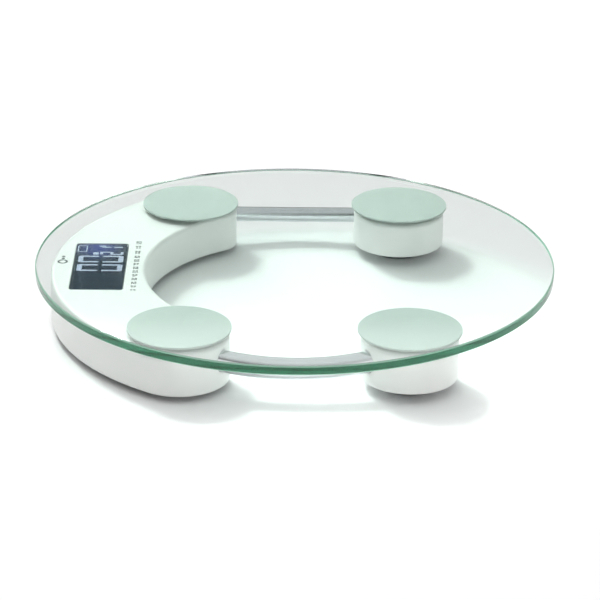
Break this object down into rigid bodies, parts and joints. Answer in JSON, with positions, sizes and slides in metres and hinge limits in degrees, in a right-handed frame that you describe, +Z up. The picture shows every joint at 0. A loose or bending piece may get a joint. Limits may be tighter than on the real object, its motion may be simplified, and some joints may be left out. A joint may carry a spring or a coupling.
{
  "type": "digital bathroom scale",
  "caption": "Round glass weighing platform on a crescent display housing and round foot housings joined by curved chrome tubes, with four loosely held rubber feet.",
  "frame": {"origin": "the middle of the underside's bounding box, on the floor under the middle of the round glass", "axes": "+Z is up. +X points from the display side to the reader's side. +Y is to the back of the scale as seen with the display at the left."},
  "size_m": [0.33, 0.33, 0.0395],
  "materials": {
    "clear_glass": "polished tempered float glass, green at the edge",
    "frosted_acrylic": "frosted",
    "white_plastic": "satin moulded",
    "grey_plastic": "fine matt moulded",
    "chromed_steel": "polished chrome plate",
    "nickel_steel": "nickel plated",
    "zinc_plate": "bright zinc plated",
    "black_rubber": "matt",
    "smoked_window": "clear smoked, polished",
    "lcd_glass": "polished",
    "board_green": "solder mask",
    "black_resin": "cured resin",
    "grey_wire": "soft PVC"
  },
  "bodies": {
    "scale": {"back_tube": "chromed_steel", "backlight_box": "white_plastic", "battery_contact_side": "nickel_steel", "battery_contact_top": "nickel_steel", "battery_holder": "grey_plastic", "battery_lead": "grey_wire", "cell_wire_back_left": "grey_wire", "cell_wire_back_right": "grey_wire", "cell_wire_front_left": "grey_wire", "cell_wire_front_right": "grey_wire", "chip_cover": "black_resin", "circuit_board": "board_green", "coin_cell": "nickel_steel", "contact_strip": "black_rubber", "display_base_cover": "grey_plastic", "display_base_screw_1": "zinc_plate", "display_base_screw_2": "zinc_plate", "display_base_screw_3": "zinc_plate", "display_base_screw_4": "zinc_plate", "display_base_screw_5": "zinc_plate", "display_housing": "white_plastic", "display_window": "smoked_window", "foot_base_back_screw_1": "zinc_plate", "foot_base_back_screw_2": "zinc_plate", "foot_base_back_screw_3": "zinc_plate", "foot_base_cover_back": "grey_plastic", "foot_base_cover_front": "grey_plastic", "foot_base_front_screw_1": "zinc_plate", "foot_base_front_screw_2": "zinc_plate", "foot_base_front_screw_3": "zinc_plate", "foot_housing_back": "white_plastic", "foot_housing_front": "white_plastic", "front_tube": "chromed_steel", "glass_pad_back_left": "frosted_acrylic", "glass_pad_back_right": "frosted_acrylic", "glass_pad_front_left": "frosted_acrylic", "glass_pad_front_right": "frosted_acrylic", "glass_platform": "clear_glass", "lcd_panel": "lcd_glass", "load_cell_back_left": "nickel_steel", "load_cell_back_right": "nickel_steel", "load_cell_front_left": "nickel_steel", "load_cell_front_right": "nickel_steel", "load_cell_mount_back_left": "grey_plastic", "load_cell_mount_back_right": "grey_plastic", "load_cell_mount_front_left": "grey_plastic", "load_cell_mount_front_right": "grey_plastic", "tact_switch": "nickel_steel"},
    "foot_front_left": {"foot_carrier_front_left": "white_plastic", "rubber_foot_front_left": "black_rubber"},
    "foot_back_left": {"foot_carrier_back_left": "white_plastic", "rubber_foot_back_left": "black_rubber"},
    "foot_front_right": {"foot_carrier_front_right": "white_plastic", "rubber_foot_front_right": "black_rubber"},
    "foot_back_right": {"foot_carrier_back_right": "white_plastic", "rubber_foot_back_right": "black_rubber"},
    "button": {"unit_button": "grey_plastic"},
    "battery_lid": {"battery_door": "grey_plastic"}
  },
  "joints": [
    {"name": "front_left_foot_drop", "type": "slide", "parent": "scale", "child": "foot_front_left", "axis": [0, 0, -1], "range_m": [0, 0.0005]},
    {"name": "back_left_foot_drop", "type": "slide", "parent": "scale", "child": "foot_back_left", "axis": [0, 0, -1], "range_m": [0, 0.0005]},
    {"name": "front_right_foot_drop", "type": "slide", "parent": "scale", "child": "foot_front_right", "axis": [0, 0, -1], "range_m": [0, 0.0005]},
    {"name": "back_right_foot_drop", "type": "slide", "parent": "scale", "child": "foot_back_right", "axis": [0, 0, -1], "range_m": [0, 0.0005]},
    {"name": "unit_button_press", "type": "slide", "parent": "scale", "child": "button", "axis": [0, 0, 1], "range_m": [0, 0.0005], "stiffness_N_per_m": 3000},
    {"name": "battery_door_turn", "type": "hinge", "parent": "scale", "child": "battery_lid", "pos_m": [-0.11945, 0.06395, 0.0085], "axis": [0, 0, 1], "range_deg": [0, 35]}
  ]
}
